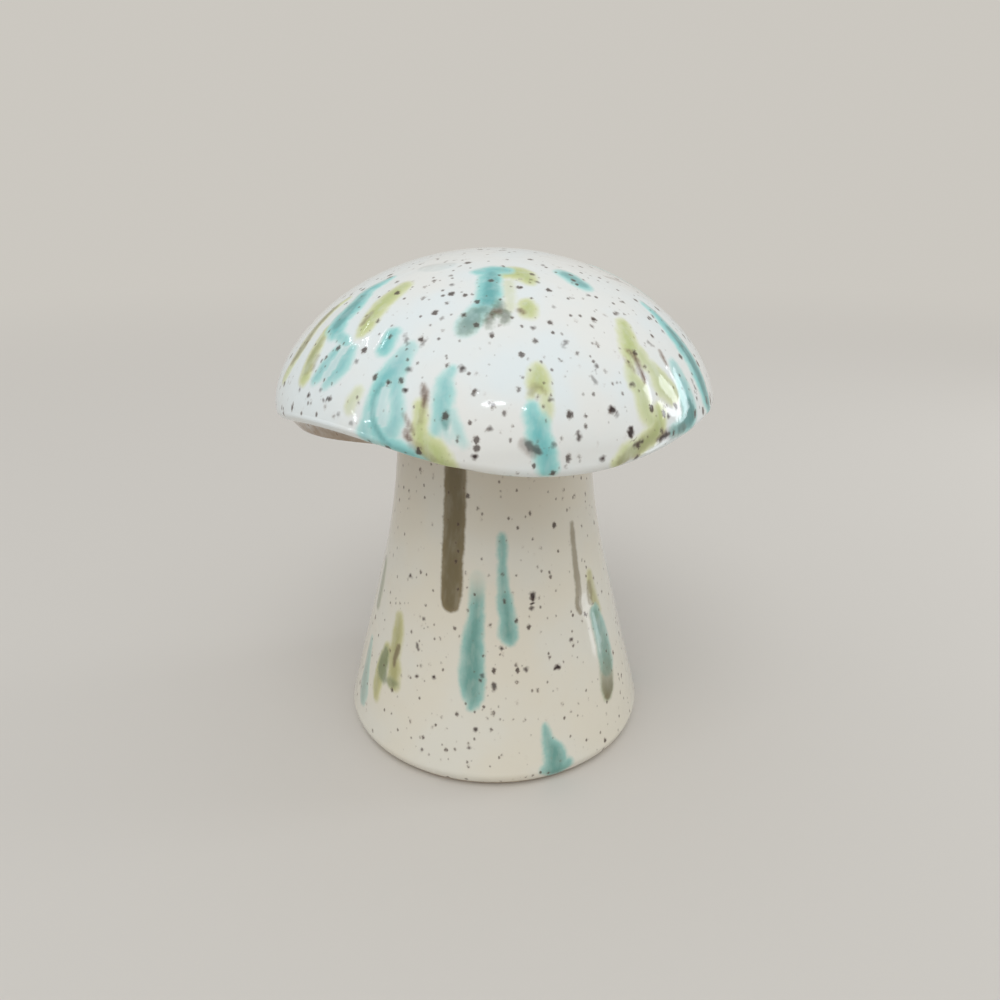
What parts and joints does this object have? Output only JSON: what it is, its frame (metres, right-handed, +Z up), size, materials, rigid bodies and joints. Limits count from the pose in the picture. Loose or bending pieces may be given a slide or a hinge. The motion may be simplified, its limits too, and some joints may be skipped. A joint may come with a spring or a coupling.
{
  "type": "mushroom ornament",
  "caption": "Glazed ceramic mushroom ornament: a hollow domed cap with a wavy rim on a hollow flared stem, which stands on a flat foot ring.",
  "frame": {"origin": "centre of the foot, on the surface that the mushroom stands on", "axes": "+Z up along the stem's axis, -Y towards the front that the picture shows"},
  "size_m": [0.0975, 0.0976, 0.1135],
  "materials": {
    "cap_glaze": "gloss",
    "stem_glaze": "gloss",
    "neck_slip": "satin"
  },
  "bodies": {
    "root": {"cap": "cap_glaze", "stem": "stem_glaze", "neck_slip": "neck_slip"}
  },
  "joints": []
}
